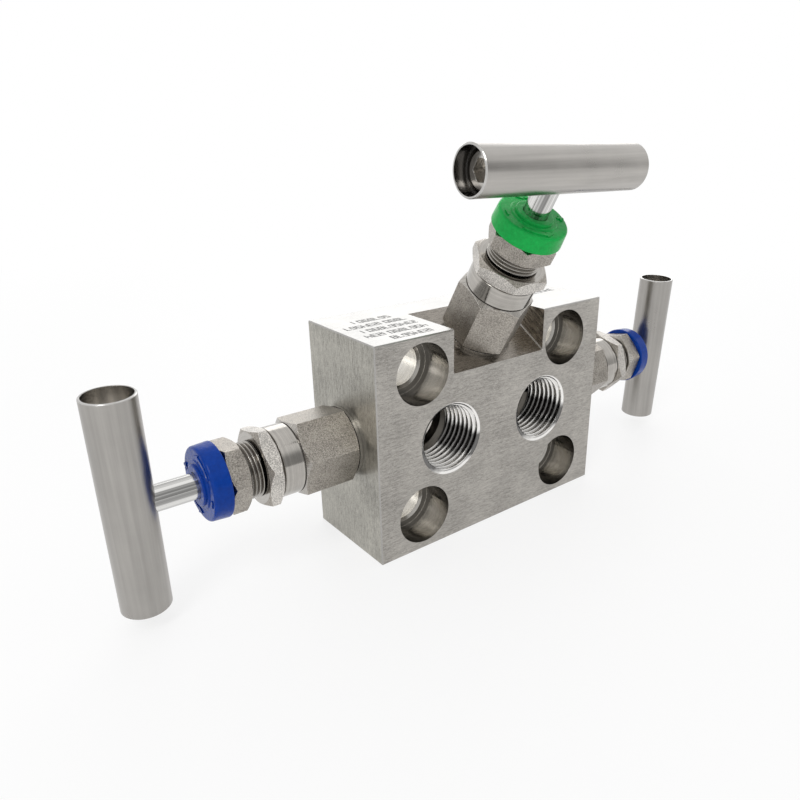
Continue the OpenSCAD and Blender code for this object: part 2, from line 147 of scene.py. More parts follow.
class Nodes:
    """Short ways to add nodes to a tree."""

    def __init__(self, tree):
        self.tree = tree

    def put(self, socket, value):
        if hasattr(value, "is_linked"):
            self.tree.links.new(value, socket)
        else:
            socket.default_value = value

    def add(self, kind, inputs=(), **settings):
        node = self.tree.nodes.new(kind)
        for key, value in settings.items():
            setattr(node, key, value)
        for key, value in dict(inputs).items():
            self.put(node.inputs[key], value)
        return node

    def math(self, operation, a, b=0.0, c=0.0):
        node = self.add("ShaderNodeMath", {0: a, 1: b, 2: c}, operation=operation)
        return node.outputs[0]

    def total(self, *terms):
        """Sum of values, each times its weight."""
        value = 0.0
        for term, weight in terms:
            value = self.math("MULTIPLY_ADD", term, weight, value)
        return value

    def vector(self, operation, a, b=(0, 0, 0)):
        node = self.add("ShaderNodeVectorMath", {0: a, 1: b}, operation=operation)
        return node.outputs["Vector"]

    def dot(self, a, b):
        node = self.add("ShaderNodeVectorMath", {0: a, 1: b}, operation="DOT_PRODUCT")
        return node.outputs["Value"]

    def length(self, vector):
        return self.add("ShaderNodeVectorMath", {0: vector}, operation="LENGTH").outputs["Value"]

    def along(self, vector, axis):
        return self.add("ShaderNodeSeparateXYZ", {0: vector}).outputs[axis]

    def ray_kind(self):
        """Whether a ray comes from the camera, and whether it was mirrored or went through."""
        path = self.add("ShaderNodeLightPath")
        mirrored = self.math(
            "MAXIMUM", path.outputs["Is Glossy Ray"], path.outputs["Is Transmission Ray"]
        )
        return path.outputs["Is Camera Ray"], mirrored

    def noise(self, vector, scale, detail=3.0, rough=0.5):
        node = self.add(
            "ShaderNodeTexNoise",
            {"Vector": vector, "Scale": scale, "Detail": detail, "Roughness": rough},
        )
        return node.outputs["Fac"]

    def span(self, value, low, high, to_low, to_high, **settings):
        node = self.add(
            "ShaderNodeMapRange", {0: value, 1: low, 2: high, 3: to_low, 4: to_high}, **settings
        )
        return node.outputs[0]


class Shader(Nodes):
    """A Principled material and what the finishes share."""

    def __init__(self, name, color, metallic, roughness, **sockets):
        self.material = bpy.data.materials.new(name)
        self.material.use_nodes = True
        super().__init__(self.material.node_tree)
        self.surface = self.tree.nodes["Principled BSDF"]
        self.surface.inputs["Base Color"].default_value = (*color, 1)
        self.surface.inputs["Metallic"].default_value = metallic
        self.surface.inputs["Roughness"].default_value = roughness
        for socket, value in sockets.items():
            self.surface.inputs[socket.replace("_", " ")].default_value = value
        self.place = self.add("ShaderNodeTexCoord").outputs["Object"]

    def stretch(self, scale):
        """The object's coordinates, multiplied along each axis."""
        return self.vector("MULTIPLY", self.place, scale)

    def rings(self, base, axis, place=None):
        """A coordinate that changes along a turned piece and across its end faces."""
        offset = self.vector("SUBTRACT", place or self.place, base)
        radius = self.length(self.vector("CROSS_PRODUCT", offset, axis))
        return self.math("ADD", self.dot(offset, axis), radius)

    def hole_rings(self, centre):
        """Rings round the holes that lie at plus and minus the centre's X and Z."""
        return self.rings(centre, (0, 1, 0), self.vector("ABSOLUTE", self.place))

    def around(self, base, axis):
        """A direction that turns with the angle round an axis."""
        offset = self.vector("SUBTRACT", self.place, base)
        return self.vector("NORMALIZE", self.vector("CROSS_PRODUCT", offset, axis))

    def shade(self, value, dark, light):
        """Colour between two shades, by a value from 0 to 1."""
        node = self.add(
            "ShaderNodeMix", {0: value, 6: (*dark, 1), 7: (*light, 1)}, data_type="RGBA"
        )
        self.put(self.surface.inputs["Base Color"], node.outputs[2])

    def rough(self, value, low, high):
        self.put(self.surface.inputs["Roughness"], self.span(value, 0.25, 0.75, low, high))

    def bump(self, height, depth, soft_edge=0.0):
        """Bump whose height is in metres, over edges rounded in shading."""
        node = self.add(
            "ShaderNodeBump", {"Height": height, "Distance": depth, "Strength": 1.0}
        )
        if soft_edge:
            bevel = self.add("ShaderNodeBevel", {"Radius": soft_edge}, samples=4)
            self.put(node.inputs["Normal"], bevel.outputs["Normal"])
        self.put(self.surface.inputs["Normal"], node.outputs["Normal"])

    def scale_color(self, factor):
        """The colour so far, times a value that changes over the surface."""
        base = self.surface.inputs["Base Color"]
        scaled = self.add("ShaderNodeVectorMath", {
            0: base.links[0].from_socket, "Scale": factor}, operation="SCALE")
        self.put(base, scaled.outputs["Vector"])

    def paint_crease_shade(self):
        """Painted shade in the seams between pieces and in tight corners, darkest where most shut
        in.
        """
        shut_in = self.add("ShaderNodeAmbientOcclusion", {"Distance": CREASE_SHADE_REACH}, samples=6)
        self.scale_color(self.span(shut_in.outputs["AO"], 0.25, 0.75, CREASE_SHADE, 1))

    def paint_edge_highlight(self, width, gain):
        """Painted highlight: brighter metal along the edges, broken into patches."""
        rounded = self.add("ShaderNodeBevel", {"Radius": width}, samples=6)
        normal = self.add("ShaderNodeNewGeometry").outputs["Normal"]
        alike = self.dot(rounded.outputs["Normal"], normal)
        patchy = self.noise(self.place, 900.0, 2.0)
        edge = self.math("MULTIPLY", self.span(alike, 0.90, 0.99, 1, 0),
                         self.span(patchy, 0.35, 0.60, 0.3, 1))
        self.scale_color(self.span(edge, 0, 1, 1, gain))


def tint(color, factor):
    return tuple(c * factor for c in color)


def brushed(name, color, along, roughness=(0.30, 0.44), depth=0.008 * MM, contrast=1.0, tilt=0.0,
            fine=1.0):
    """Brushed steel: long and short scratches along one axis, over a fine grain.

    A tilt turns the scratches about X, and a higher fine makes them smaller.
    """
    s = Shader(name, color, 1.0, 0.38)
    if tilt:
        turned_place = s.add("ShaderNodeVectorRotate", {0: s.place, "Angle": -tilt},
                             rotation_type="X_AXIS")
        s.place = turned_place.outputs["Vector"]

    def scratches(lengthwise, across, detail, rough):
        scale = [(lengthwise if i == along else across) * fine for i in range(3)]
        return s.noise(s.stretch(scale), 1.0, detail, rough)

    long_lines = scratches(150, 2600, 4.0, 0.7)
    short_lines = scratches(900, 4800, 2.0, 0.6)
    grain = s.noise(s.place, 5200.0, 1.0)
    patches = s.noise(s.place, 90.0, 3.0)
    mixed = s.total((long_lines, 0.28), (short_lines, 0.40), (grain, 0.32))
    tone = s.total((mixed, 1.0), (patches, 0.2))
    s.shade(s.span(tone, 0.48, 0.72, 0, 1), tint(color, 1 - 0.30 * contrast),
            tint(color, 1 + 0.30 * contrast))
    # Painted highlight along the edges
    s.paint_edge_highlight(0.16 * MM, 1.12)
    s.rough(short_lines, *roughness)
    s.bump(mixed, depth, 0.08 * MM)
    return s.material


def blasted(name, color, contrast=1.0):
    """Bead-blasted steel: an even grain of small dents."""
    s = Shader(name, color, 1.0, 0.42)
    dents = s.noise(s.place, 3200.0, 2.0, 0.6)
    specks = s.noise(s.place, 5600.0, 1.0)
    patches = s.noise(s.place, 260.0, 3.0)
    tone = s.total((dents, 0.6), (specks, 0.5), (patches, 0.2))
    s.shade(s.span(tone, 0.48, 0.82, 0, 1), tint(color, 1 - 0.55 * contrast),
            tint(color, 1 + 0.55 * contrast))
    # Painted highlight along the edges
    s.paint_edge_highlight(0.14 * MM, 1.7)
    # Painted shade in seams and corners
    s.paint_crease_shade()
    s.rough(patches, 0.34, 0.46)
    s.bump(s.total((dents, 0.6), (specks, 0.4)), 0.07 * MM, 0.06 * MM)
    return s.material


def machined(s, color, ring, roughness, depth, shade_creases=True):
    """Tool marks along a coordinate that changes from ring to ring."""
    place = s.add("ShaderNodeCombineXYZ", {"X": ring}).outputs["Vector"]
    fine = s.noise(place, 5200.0, 2.0)
    coarse = s.noise(place, 900.0, 2.0)
    patches = s.noise(s.place, 300.0, 3.0)
    tone = s.total((coarse, 0.6), (fine, 0.4), (patches, 0.3))
    s.shade(s.span(tone, 0.50, 0.80, 0, 1), tint(color, 0.8), tint(color, 1.15))
    # Painted shade in seams and corners, where asked for
    if shade_creases:
        s.paint_crease_shade()
    s.rough(coarse, *roughness)
    s.bump(s.total((fine, 0.6), (coarse, 0.4)), depth, 0.1 * MM)
    return s.material


def turned(name, color, base, axis, roughness=(0.16, 0.30), depth=0.012 * MM):
    """Turned steel: fine rings round the piece's own axis."""
    s = Shader(name, color, 1.0, 0.25)
    return machined(s, color, s.rings(base, axis), roughness, depth)


def chattered(name, color, base, axis):
    """Chamfer with the short marks that a tool leaves across it."""
    s = Shader(name, color, 1.0, 0.2)
    marks = s.noise(s.around(base, axis), 60.0, 2.0)
    s.shade(s.span(marks, 0.35, 0.65, 0, 1), tint(color, 0.78), tint(color, 1.22))
    # Painted highlight along the edges
    s.paint_edge_highlight(0.12 * MM, 1.4)
    # Painted shade in seams and corners
    s.paint_crease_shade()
    s.rough(marks, 0.18, 0.30)
    s.bump(marks, 0.03 * MM, 0.1 * MM)
    return s.material


def polished(name, color, base, axis):
    """Polished rod: soft light and dark streaks along it, which are painted reflections, and a
    fine grain.
    """
    s = Shader(name, color, 1.0, 0.1)
    streaks = s.noise(s.around(base, axis), 2.6, 3.0, 0.6)
    grain = s.noise(s.place, 2400.0, 2.0)
    # Painted reflections: light and dark streaks along the rod
    s.shade(s.span(streaks, 0.36, 0.62, 0, 1), tint(color, 0.36), tint(color, 1.25))
    s.rough(grain, 0.07, 0.13)
    s.bump(s.total((streaks, 1.0), (grain, 0.02)), 0.08 * MM)
    return s.material


def bored(name, color, centre, roughness, paint_band_shading=False):
    """Bored steel: rings round the hole and, where asked for, painted light and shade by depth."""
    s = Shader(name, color, 1.0, 0.22)
    machined(s, color, s.hole_rings(centre), roughness, BORE_MARKS, shade_creases=False)
    if paint_band_shading:
        # Painted light and shade by depth: a lighter band across each counterbore, darker walls
        # elsewhere
        y = s.along(s.place, "Y")
        from_band = s.math("ABSOLUTE", s.math("ADD", y, -LIT_BAND_Y))
        lit_band = s.span(from_band, LIT_BAND_HALF_W, SHADED_FROM, LIT_BAND_SHADE, PAINTED_DARK_SHADE)
        step = s.span(y, STEP_FROM, STEP_TO, PAINTED_DARK_SHADE, STEP_SHADE)
        behind = s.span(y, BEHIND_FROM, BEHIND_TO, PAINTED_DARK_SHADE, BEHIND_SHADE)
        s.scale_color(s.math("MAXIMUM", s.math("MAXIMUM", lit_band, behind), step))
        # Painted highlight along the edges
        s.paint_edge_highlight(0.2 * MM, 2.2)
    return s.material


def dark_banded(name, color, centre, roughness):
    """Tapped steel: rings, and a painted dark band across the middle of the hole, standing in for
    a dark reflection.
    """
    s = Shader(name, color, 1.0, 0.2)
    machined(s, color, s.hole_rings(centre), roughness, BORE_MARKS, shade_creases=False)
    # Painted reflection: a darker band across the middle of the hole
    height = s.along(s.place, "Z")
    drift = s.math("MULTIPLY_ADD", s.noise(s.place, 160.0, 2.0), DARK_BAND_DRIFT, height)
    low_side = s.span(drift, DARK_BAND_LOW_FROM, DARK_BAND_LOW_TO, 0, 1)
    high_side = s.span(drift, DARK_BAND_HIGH_FROM, DARK_BAND_HIGH_TO, 1, 0)
    s.scale_color(s.span(s.math("MULTIPLY", low_side, high_side), 0, 1, 1, DARK_BAND_SHADE))
    return s.material


def satin(name, color, stretch, roughness=(0.26, 0.38)):
    """Drawn steel: soft streaks along the bar and a faint haze."""
    s = Shader(name, color, 1.0, 0.27)
    streaks = s.noise(s.stretch(stretch), 1.0, 3.0, 0.6)
    haze = s.noise(s.place, 120.0, 4.0)
    grain = s.noise(s.place, 3000.0, 2.0)
    s.shade(s.span(s.math("ADD", streaks, s.math("MULTIPLY", haze, 0.5)), 0.5, 1.0, 0, 1),
            tint(color, 0.86), tint(color, 1.10))
    s.rough(haze, *roughness)
    s.bump(s.math("ADD", s.math("MULTIPLY", streaks, 0.7), s.math("MULTIPLY", grain, 0.3)),
           0.006 * MM, 0.1 * MM)
    return s.material


def moulded(name, color):
    """Moulded plastic: a slight unevenness, scuffs and a soft gloss."""
    s = Shader(name, color, 0.0, 0.24, Specular_IOR_Level=0.14)
    waves = s.noise(s.place, 420.0, 3.0)
    scuffs = s.noise(s.place, 900.0, 4.0, 0.7)
    s.shade(s.span(scuffs, 0.35, 0.75, 0, 1), tint(color, 0.85), tint(color, 1.15))
    s.rough(scuffs, 0.14, 0.30)
    s.bump(s.total((waves, 1.0), (scuffs, 0.2)), 0.14 * MM, 0.12 * MM)
    return s.material


def ptfe(name, color):
    """PTFE: white, waxy and slightly mottled."""
    s = Shader(name, color, 0.0, 0.5, Subsurface_Weight=0.25, Subsurface_Scale=0.001)
    cloud = s.noise(s.place, 350.0, 4.0)
    s.shade(cloud, tint(color, 0.93), tint(color, 1.03))
    s.rough(cloud, 0.42, 0.6)
    s.bump(cloud, 0.02 * MM, 0.1 * MM)
    return s.material


def give(obj, material):
    """One material for the whole of a piece."""
    obj.data.materials.clear()
    obj.data.materials.append(material)


def dressed(node, name, materials, choose):
    """Copy of a CAD node whose faces take a material each, as choose(centre, normal) says."""
    source = frame["nodes"][node]
    piece = source.copy()
    piece.data = source.data.copy()
    piece.name = name
    piece.data.name = name
    for key in list(piece.keys()):
        if key.startswith("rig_"):
            del piece[key]
    bpy.context.scene.collection.objects.link(piece)
    piece.parent = None
    keys = list(materials)
    piece.data.materials.clear()
    for key in keys:
        piece.data.materials.append(materials[key])
    for face in piece.data.polygons:
        face.material_index = keys.index(choose(face.center, face.normal))
    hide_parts(node)
    return piece


def new_piece(name, bm, material, body, smooth=True):
    mesh = bpy.data.meshes.new(name)
    bmesh.ops.recalc_face_normals(bm, faces=bm.faces)
    bm.to_mesh(mesh)
    bm.free()
    for face in mesh.polygons:
        face.use_smooth = smooth
    piece = bpy.data.objects.new(name, mesh)
    bpy.context.scene.collection.objects.link(piece)
    mesh.materials.append(material)
    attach(piece, body)
    return piece


def slab(bm, outline, low, high):
    """Flat piece with the given outline, between two heights."""
    bottom = [bm.verts.new((x, y, low)) for x, y in outline]
    top = [bm.verts.new((x, y, high)) for x, y in outline]
    bm.faces.new(top)
    bm.faces.new(bottom[::-1])
    for i in range(len(outline)):
        j = (i + 1) % len(outline)
        bm.faces.new((bottom[i], bottom[j], top[j], top[i]))


def frame_matrix(origin, x_axis, z_axis):
    y_axis = z_axis.cross(x_axis)
    m = Matrix((x_axis, y_axis, z_axis)).transposed().to_4x4()
    m.translation = origin
    return m


def ripple(phase):
    """Thread form: 0 at the root, 1 at the crest, with narrow flats."""
    t = abs((phase % 1.0) * 2 - 1)
    return min(1.0, max(0.0, (t - THREAD_FLAT) / THREAD_FLANK))


def gland_radius(z, phase):
    return GLAND_ROOT_R + (GLAND_CREST_R - GLAND_ROOT_R) * ripple(phase)


def port_radius(z, phase):
    """Taper thread, which flares out to the port's wall at the mouth."""
    form = PORT_MOUTH_R - z * PORT_TAPER - PORT_THREAD_H * ripple(phase)
    return max(form, PORT_THIN_R - PORT_MOUTH_SLOPE * z)


def thread_sleeve(inner, radius, length, pitch, segments=72, rows_per_turn=14):
    """Closed sleeve with a helical surface.

    radius(z, phase) gives the threaded surface, and inner is the plain surface's radius.
    """
    bm = bmesh.new()
    rows = int(length / pitch * rows_per_turn)
    threaded, plain = [], []
    for i in range(rows + 1):
        z = length * i / rows
        a_row, b_row = [], []
        for k in range(segments):
            angle = TAU * k / segments
            r = radius(z, z / pitch - k / segments)
            a_row.append(bm.verts.new((r * math.cos(angle), r * math.sin(angle), z)))
            b_row.append(bm.verts.new((inner * math.cos(angle), inner * math.sin(angle), z)))
        threaded.append(a_row)
        plain.append(b_row)
    for i in range(rows):
        for k in range(segments):
            j = (k + 1) % segments
            bm.faces.new((threaded[i][k], threaded[i][j], threaded[i + 1][j], threaded[i + 1][k]))
            bm.faces.new((plain[i][j], plain[i][k], plain[i + 1][k], plain[i + 1][j]))
    for i in (0, rows):
        for k in range(segments):
            j = (k + 1) % segments
            bm.faces.new((threaded[i][k], threaded[i][j], plain[i][j], plain[i][k]))
    return bm


# Materials
front_steel = brushed("block_front_steel", FRONT_STEEL, 0, contrast=1.15, fine=0.85)
side_steel = brushed("block_side_steel", SIDE_STEEL, 2, contrast=1.3, fine=0.6)
top_steel = brushed("block_top_steel", TOP_STEEL, 0, (0.26, 0.36), contrast=0.6)
pocket_steel = brushed("block_pocket_steel", POCKET_STEEL, 0, (0.22, 0.34), 0.01 * MM,
                       tilt=POCKET_TILT, fine=0.5)
pocket_wall = brushed("block_pocket_wall", POCKET_WALL_STEEL, 1, (0.24, 0.36), 0.03 * MM,
                      contrast=2.2, tilt=POCKET_TILT, fine=0.32)
pocket_side = brushed("block_pocket_side", POCKET_STEEL, 1, (0.24, 0.36), 0.03 * MM,
                      tilt=POCKET_TILT, fine=0.32)
edge_steel = brushed("block_edge_steel", EDGE_STEEL, 0, (0.30, 0.40), 0.004 * MM, contrast=0.5)
bore_steel = bored("block_bore_steel", BORE_STEEL, BOLT_HOLE, (0.13, 0.20), paint_band_shading=True)
deep_shade_steel = bored("block_deep_steel", DEEP_SHADE_STEEL, PORT, (0.25, 0.40))
thread_steel = dark_banded("block_thread_steel", THREAD_STEEL, PORT, (0.16, 0.26))
lit_hole_steel = bored("block_hole_steel", LIT_HOLE_STEEL, BOLT_HOLE, (0.20, 0.32))
blasted_steel = blasted("blasted_steel", BLASTED_STEEL, 1.1)
nut_steel = blasted("nut_steel", NUT_STEEL, 1.1)
turned_steel = {
    v: turned(f"{v}_turned_steel", TURNED_STEEL, BASES[v], AXES[v], (0.09, 0.16), 0.008 * MM)
    for v in VALVES
}
gland_thread_steel = {
    v: turned(f"{v}_gland_thread_steel", GLAND_THREAD_STEEL, BASES[v], AXES[v], (0.14, 0.24))
    for v in VALVES
}
polished_steel = {
    v: polished(f"{v}_stem_steel", POLISHED_STEEL, BASES[v], AXES[v]) for v in VALVES
}
chamfer_steel = {
    v: chattered(f"{v}_chamfer_steel", TURNED_STEEL, BASES[v], AXES[v]) for v in VALVES
}
washer_steel = {
    v: turned(f"{v}_washer_steel", tint(TURNED_STEEL, 0.8), BASES[v], AXES[v]) for v in VALVES
}
screw_steel = satin("screw_steel", SCREW_STEEL, (700, 700, 700), (0.16, 0.26))
side_bar_steel = satin("side_bar_steel", HANDLE_STEEL, (900, 900, 14))
# Painted light: the equaliser's bar takes the handle steel 1.2 times as bright
lit_cross_bar_steel = satin("lit_cross_bar_steel", tint(HANDLE_STEEL, 1.2), (14, 900, 900))
mark_steel = blasted("mark_steel", MARK_STEEL)
rim_steel = satin("rim_steel", RIM_STEEL, (900, 900, 900), (0.16, 0.24))
recess_steel = satin("recess_steel", RECESS_STEEL, (300, 300, 300), (0.16, 0.26))
shaded_recess_steel = satin("shaded_recess_steel", SHADED_RECESS_STEEL, (300, 300, 300), (0.16, 0.26))
white_ptfe = ptfe("white_ptfe", PTFE_WHITE)
blue_plastic = moulded("blue_plastic", CAP_BLUE)
green_plastic = moulded("green_plastic", CAP_GREEN)
cap_plastic = {"left": blue_plastic, "right": blue_plastic, "equaliser": green_plastic}

# Block: which finish each of its faces has
FLAT = 0.9
SKIN = 0.4 * MM
WALL_SLACK = 0.1 * MM
EDGE_REACH = 0.5 * MM
DEEP_FROM, DEEP_TO = -0.5 * MM, 5 * MM


def near_outside(point):
    """True on the block's outer edges, where two of its faces meet."""
    gaps = (BLOCK_HIGH.x - abs(point.x), min(point.y - BLOCK_LOW.y, BLOCK_HIGH.y - point.y),
            BLOCK_HIGH.z - abs(point.z))
    return sum(gap < EDGE_REACH for gap in gaps) > 1


def block_finish(centre, normal):
    x, y, z = centre
    if abs(normal.x) > FLAT and abs(abs(x) - BLOCK_HIGH.x) < SKIN:
        return "side"
    if normal.z > FLAT and z > BLOCK_HIGH.z - SKIN or normal.z < -FLAT and z < BLOCK_LOW.z + SKIN:
        return "top"
    if abs(normal.y) > FLAT and (y < BLOCK_LOW.y + SKIN or y > BLOCK_HIGH.y - SKIN):
        return "front"
    in_pocket = abs(x) < POCKET_HALF_W + WALL_SLACK and z > POCKET_LOWEST
    if in_pocket and abs(normal.x) > FLAT:
        return "pocket_wall" if normal.x < 0 else "pocket_side"
    if in_pocket and normal.z > 0.8:
        return "pocket"
    past_thread = y - (BLOCK_LOW.y + PORT_THREAD_L)
    # Painted shade: the deep part of each port takes the near-black steel
    if math.hypot(abs(x) - PORT_X, z) < PORT_DEEP_R and DEEP_FROM < past_thread < DEEP_TO:
        return "deep"
    from_bolt = math.hypot(abs(x) - BOLT_HOLE[0], abs(z) - BOLT_HOLE[2])
    if from_bolt < BOLT_HOLE_R and abs(normal.y) < 0.5:
        return "hole"
    chamfered = sum(0.6 < abs(c) < 0.8 for c in normal) == 2
    return "edge" if chamfered and near_outside(centre) else "bore"


block = dressed(
    "manifold_block", "machined_block",
    {"side": side_steel, "front": front_steel, "top": top_steel, "pocket": pocket_steel,
     "pocket_wall": pocket_wall, "pocket_side": pocket_side, "edge": edge_steel,
     "deep": deep_shade_steel, "hole": lit_hole_steel, "bore": bore_steel},
    block_finish,
)
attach(block, "manifold")

# Just under half the width across flats of the 19 and 16.5 mm hexagons, and how deep the
# rim of a bar's end goes
LARGE_HEX = 9.42 * MM
SMALL_HEX = 8.2 * MM
RIM_REACH = 0.6 * MM


def hex_finish(valve, flat_distance):
    """Blasted on the hexagon's flats, chattered on its end cones, turned elsewhere."""
    base, axis = BASES[valve], AXES[valve]

    def choose(centre, normal):
        along = normal.dot(axis)
        offset = centre - base
        distance = (offset - offset.dot(axis) * axis).length
        if abs(along) < 0.02 and offset.dot(normal) > flat_distance:
            return "blasted"
        return "chamfer" if 0.6 < abs(along) < 0.95 and distance > flat_distance else "turned"

    return choose


def bar_finish(valve):
    """Rim and recess of the bar's ends, apart from its outside."""
    low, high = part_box(f"{valve}_t_bar")
    middle = (low + high) / 2
    spread = high - low
    along = max(range(3), key=lambda i: spread[i])
    reach = spread[along] / 2

    def choose(centre, normal):
        offset = centre - middle
        if reach - abs(offset[along]) < RIM_REACH and abs(normal[along]) > 0.5:
            return "rim"
        offset[along] = 0
        return "outside" if offset.dot(normal) > 0.5 * offset.length else "recess"

    return choose


for v in VALVES:
    for piece_name, node, flat_distance, slot in (
        ("bonnet_body", "bonnet", LARGE_HEX, "bonnet_steel"),
        ("thin_nut", "lock_nut", LARGE_HEX, "nut_steel"),
        ("gland_body", "gland_screw", SMALL_HEX, "nut_steel"),
    ):
        flats = nut_steel if node == "lock_nut" else blasted_steel
        cones = blasted_steel if node == "lock_nut" else chamfer_steel[v]
        finish = {"turned": turned_steel[v], "blasted": flats, "chamfer": cones}
        piece = dressed(f"{v}_{node}", f"{v}_{piece_name}", finish, hex_finish(v, flat_distance))
        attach(piece, "manifold")
    for node, material in (
        ("bonnet_washer", washer_steel[v]), ("packing_washer", washer_steel[v]),
        ("packing_follower", washer_steel[v]), ("packing_rings", white_ptfe),
        ("dust_cap", cap_plastic[v]), ("valve_tip", polished_steel[v]),
        ("stem", polished_steel[v]), ("set_screw", screw_steel),
    ):
        give(frame["nodes"][f"{v}_{node}"], material)
    outside = lit_cross_bar_steel if v == "equaliser" else side_bar_steel
    # Painted shade: the equaliser bar's recess is near-black
    recess = shaded_recess_steel if v == "equaliser" else recess_steel
    bar = dressed(
        f"{v}_t_bar", f"{v}_cross_bar",
        {"outside": outside, "rim": rim_steel, "recess": recess}, bar_finish(v)
    )
    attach(bar, f"{v}_spindle")
for side, _ in SIDES:
    give(frame["nodes"][f"{side}_flange_seal"], white_ptfe)

# Threads that show between each lock nut and its gland's hexagon
for v in VALVES:
    thread = thread_sleeve(
        GLAND_ROOT_R - SLEEVE_SUNK, gland_radius, CAP_RIM - GLAND_HEX_L - NUT_END, GLAND_PITCH
    )
    thread.transform(frame_matrix(BASES[v] + NUT_END * AXES[v], CROSSWISE[v], AXES[v]))
    new_piece(f"{v}_gland_thread", thread, gland_thread_steel[v], "manifold")


# Tapered pipe threads in the two process ports
for side, sign in SIDES:
    thread = thread_sleeve(PORT_SLEEVE_R, port_radius, PORT_THREAD_L, PORT_PITCH, PORT_SEGMENTS)
    mouth = Vector((sign * PORT_X, BLOCK_LOW.y + SLEEVE_SUNK, 0))
    thread.transform(frame_matrix(mouth, Vector((1, 0, 0)), Vector((0, 1, 0))))
    new_piece(f"{side}_port_thread", thread, thread_steel, "manifold")

# Fillets that the cutter leaves along the pocket's two lower corners
FILLET = 0.4 * MM
FRONT_GAP, BACK_GAP = 0.05 * MM, 0.5 * MM
floor_point, floor_normal = BASES["equaliser"], AXES["equaliser"]
slope = Vector((0, floor_normal.z, -floor_normal.y))
front_end = (BLOCK_LOW.y + FRONT_GAP - floor_point.y) / slope.y
back_end = (BLOCK_HIGH.z - BACK_GAP - floor_point.z) / slope.z
for side, sign in SIDES:
    bm = bmesh.new()
    corner = Vector((sign * (POCKET_HALF_W + SUNK), floor_point.y, floor_point.z))
    sunk = corner - SUNK * floor_normal
    rows = [[bm.verts.new(point + slope * t) for point in (
        sunk, sunk - Vector((sign * FILLET, 0, 0)), sunk + FILLET * floor_normal)]
        for t in (front_end, back_end)]
    for i in range(3):
        j = (i + 1) % 3
        bm.faces.new((rows[0][i], rows[0][j], rows[1][j], rows[1][i]))
    bm.faces.new(rows[0])
    bm.faces.new(rows[1][::-1])
    new_piece(f"{side}_pocket_fillet", bm, rim_steel, "manifold", smooth=False)

# Engraved rows of plain numbers on the block's top: where each row starts, in mm, how many
# digits it has and the first of them
DIGIT_W, DIGIT_H = 1.1 * MM, 2.2 * MM
DIGIT_STEP = 1.75 * MM
STROKE_W = 0.36 * MM
INK_LOW, INK_HIGH = -0.02 * MM, 0.012 * MM
STROKES = (((0, 1), (1, 1)), ((1, 1), (1, 0.5)), ((1, 0.5), (1, 0)), ((0, 0), (1, 0)),
           ((0, 0.5), (0, 0)), ((0, 1), (0, 0.5)), ((0, 0.5), (1, 0.5)))
DIGIT_STROKES = ("012345", "12", "01643", "01236", "1256", "02356", "023456", "012", "0123456",
                 "012356")
ENGRAVED_ROWS = ((-20.5, -27, 8, 1), (-20, -22.5, 11, 4), (-20, -18, 10, 2), (-20.5, -13.5, 11, 7),
                 (-22.5, -9, 7, 5), (38, -14, 8, 3), (37, -9.5, 7, 6))


def engrave_rows():
    """Numbers that count up along each row; their tops point to the front."""
    bm = bmesh.new()
    for row_x, row_y, count, first in ENGRAVED_ROWS:
        for i in range(count):
            corner = Vector((row_x * MM - i * DIGIT_STEP, row_y * MM))
            for stroke in DIGIT_STROKES[(first + i) % 10]:
                ends = [corner - Vector((u * DIGIT_W, w * DIGIT_H))
                        for u, w in STROKES[int(stroke)]]
                run = (ends[1] - ends[0]).normalized() * STROKE_W / 2
                side = Vector((-run.y, run.x))
                outline = [ends[0] - run + side, ends[0] - run - side, ends[1] + run - side,
                           ends[1] + run + side]
                slab(bm, [tuple(p) for p in outline], INK_LOW, INK_HIGH)
    bm.transform(Matrix.Translation((0, 0, BLOCK_HIGH.z)))
    new_piece("engraved_numbers", bm, mark_steel, "manifold", smooth=False)


# Raised marks on the caps: two curved arrows, a plus and a minus
HUB_STEP = 0.9 * MM
CAP_FACE = CAP_HUB - HUB_STEP
MARK_LOW, MARK_HIGH = -0.05 * MM, 0.28 * MM
MARK_R = 7.75 * MM
MARK_HALF_W = 0.45 * MM
HEAD_HALF_W = 1.0 * MM
SIGN_HALF_L, SIGN_HALF_W = 1.0 * MM, 0.3 * MM
FIRST_ARROW = 0.5
PLUS_AT, MINUS_AT = FIRST_ARROW - TAU / 8, FIRST_ARROW + TAU * 3 / 8
ARROW_SPAN = math.radians(46)
HEAD_SPAN = math.radians(16)
ARC_STEPS = 10


def polar(radius, angle):
    return radius * math.cos(angle), radius * math.sin(angle)


def arrow_outline(start):
    ends = [start + ARROW_SPAN * i / ARC_STEPS for i in range(ARC_STEPS + 1)]
    outline = [polar(MARK_R + MARK_HALF_W, a) for a in ends]
    outline.append(polar(MARK_R + HEAD_HALF_W, ends[-1]))
    outline.append(polar(MARK_R, ends[-1] + HEAD_SPAN))
    outline.append(polar(MARK_R - HEAD_HALF_W, ends[-1]))
    return outline + [polar(MARK_R - MARK_HALF_W, a) for a in reversed(ends)]


def bar_outline(angle, half_l, half_w):
    u, w = Vector(polar(1, angle)), Vector(polar(1, angle + TAU / 4))
    middle = u * MARK_R
    return [tuple(middle + u * a * half_l + w * b * half_w)
            for a, b in ((1, 1), (-1, 1), (-1, -1), (1, -1))]


engrave_rows()
for v in VALVES:
    marks = bmesh.new()
    for start in (FIRST_ARROW, FIRST_ARROW + TAU / 2):
        slab(marks, arrow_outline(start), MARK_LOW, MARK_HIGH)
    for angle in (PLUS_AT, MINUS_AT):
        slab(marks, bar_outline(angle, SIGN_HALF_W, SIGN_HALF_L), MARK_LOW, MARK_HIGH)
    slab(marks, bar_outline(PLUS_AT, SIGN_HALF_L, SIGN_HALF_W), MARK_LOW, MARK_HIGH - SUNK)
    marks.transform(frame_matrix(BASES[v] + CAP_FACE * AXES[v], CROSSWISE[v], AXES[v]))
    new_piece(f"{v}_cap_marks", marks, cap_plastic[v], "manifold", smooth=False)

